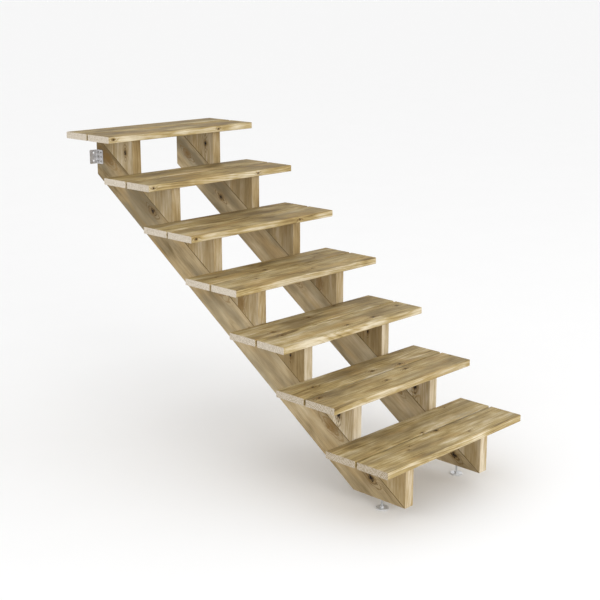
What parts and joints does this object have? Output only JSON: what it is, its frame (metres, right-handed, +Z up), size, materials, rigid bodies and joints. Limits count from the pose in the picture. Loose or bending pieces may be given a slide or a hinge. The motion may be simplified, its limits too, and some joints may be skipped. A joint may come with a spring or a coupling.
{
  "type": "outdoor staircase",
  "caption": "Straight open-riser outdoor stair of treated softwood: saw-tooth stringers carry plank treads, with threaded levelling feet below and angle brackets at the top.",
  "frame": {"origin": "middle of the rear face of the left bracket's wall leg, where the stair is bolted to the wall or deck edge", "axes": "+X across the steps from the left stringer to the right one as seen by someone walking up, +Y up the stair and into the wall, +Z up"},
  "size_m": [0.83, 1.852, 1.305],
  "materials": {
    "tread_pine": "planed pressure-treated softwood",
    "stringer_pine": "planed pressure-treated softwood",
    "block_pine": "planed pressure-treated softwood",
    "zinc_plated_steel": "zinc-plated, matt"
  },
  "bodies": {
    "root": {"left_stringer": "stringer_pine", "right_stringer": "stringer_pine", "left_block_1": "block_pine", "left_block_2": "block_pine", "left_block_3": "block_pine", "left_block_4": "block_pine", "left_block_5": "block_pine", "left_block_6": "block_pine", "left_block_7": "block_pine", "right_block_1": "block_pine", "right_block_2": "block_pine", "right_block_3": "block_pine", "right_block_4": "block_pine", "right_block_5": "block_pine", "right_block_6": "block_pine", "right_block_7": "block_pine", "front_tread_1": "tread_pine", "back_tread_1": "tread_pine", "front_tread_2": "tread_pine", "back_tread_2": "tread_pine", "front_tread_3": "tread_pine", "back_tread_3": "tread_pine", "front_tread_4": "tread_pine", "back_tread_4": "tread_pine", "front_tread_5": "tread_pine", "back_tread_5": "tread_pine", "front_tread_6": "tread_pine", "back_tread_6": "tread_pine", "front_tread_7": "tread_pine", "back_tread_7": "tread_pine", "left_foot_rod": "zinc_plated_steel", "right_foot_rod": "zinc_plated_steel", "left_foot_plate": "zinc_plated_steel", "right_foot_plate": "zinc_plated_steel", "left_bracket": "zinc_plated_steel", "right_bracket": "zinc_plated_steel"}
  },
  "joints": []
}
